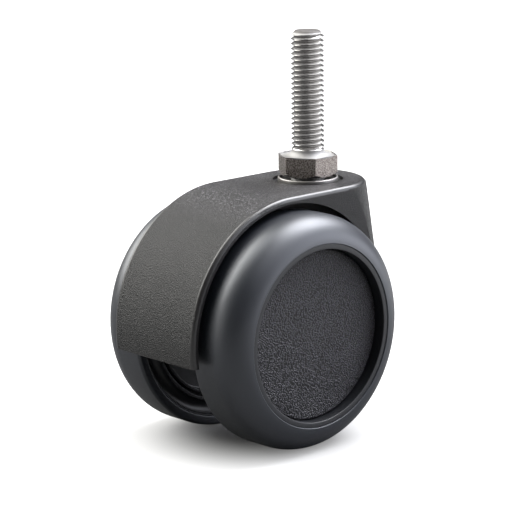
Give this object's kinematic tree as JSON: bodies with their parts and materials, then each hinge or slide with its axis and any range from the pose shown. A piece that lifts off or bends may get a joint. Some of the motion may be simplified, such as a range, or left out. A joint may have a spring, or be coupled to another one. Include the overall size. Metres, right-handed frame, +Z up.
{
  "type": "swivel furniture castor",
  "caption": "Hooded swivel castor with soft-tread disc wheels on one axle, a dark moulded housing and a steel threaded stem with a hexagon.",
  "frame": {"origin": "on the swivel axis, in the plane of the hexagon's corners, which seat against the furniture, at the foot of the straight shank", "axes": "+Z up along the threaded stem, +Y along the wheel axle, +X forward, so that the axle trails behind the stem towards -X"},
  "size_m": [0.0843, 0.0596, 0.1189],
  "materials": {
    "stem_steel": "bright turned steel with a thread, matt drawn flats on the hexagon",
    "bush_steel": "turned steel",
    "spring_steel": "dark spring steel",
    "axle_steel": "ground steel",
    "housing_plastic": "black polyamide with a fine eroded texture",
    "core_plastic": "dark moulded plastic, smooth satin",
    "tyre_elastomer": "blue-grey soft elastomer, satin",
    "cap_plastic": "black plastic with a fine pebbled grain"
  },
  "bodies": {
    "stem": {"stem": "stem_steel", "stem_retaining_ring": "spring_steel"},
    "housing": {"housing": "housing_plastic", "swivel_bush": "bush_steel", "thrust_disc": "spring_steel", "axle": "axle_steel", "axle_clip_left": "spring_steel", "axle_clip_right": "spring_steel", "axle_washer_left": "axle_steel", "axle_washer_right": "axle_steel"},
    "wheel_left": {"wheel_core_left": "core_plastic", "tyre_left": "tyre_elastomer", "wheel_cap_left": "cap_plastic"},
    "wheel_right": {"wheel_core_right": "core_plastic", "tyre_right": "tyre_elastomer", "wheel_cap_right": "cap_plastic"}
  },
  "joints": [
    {"name": "swivel", "type": "hinge", "parent": "stem", "child": "housing", "pos_m": [0, 0, 0], "axis": [0, 0, 1], "continuous": true},
    {"name": "wheel_left_spin", "type": "hinge", "parent": "housing", "child": "wheel_left", "pos_m": [-0.0231, 0, -0.0467], "axis": [0, 1, 0], "continuous": true},
    {"name": "wheel_right_spin", "type": "hinge", "parent": "housing", "child": "wheel_right", "pos_m": [-0.0231, 0, -0.0467], "axis": [0, 1, 0], "continuous": true}
  ]
}
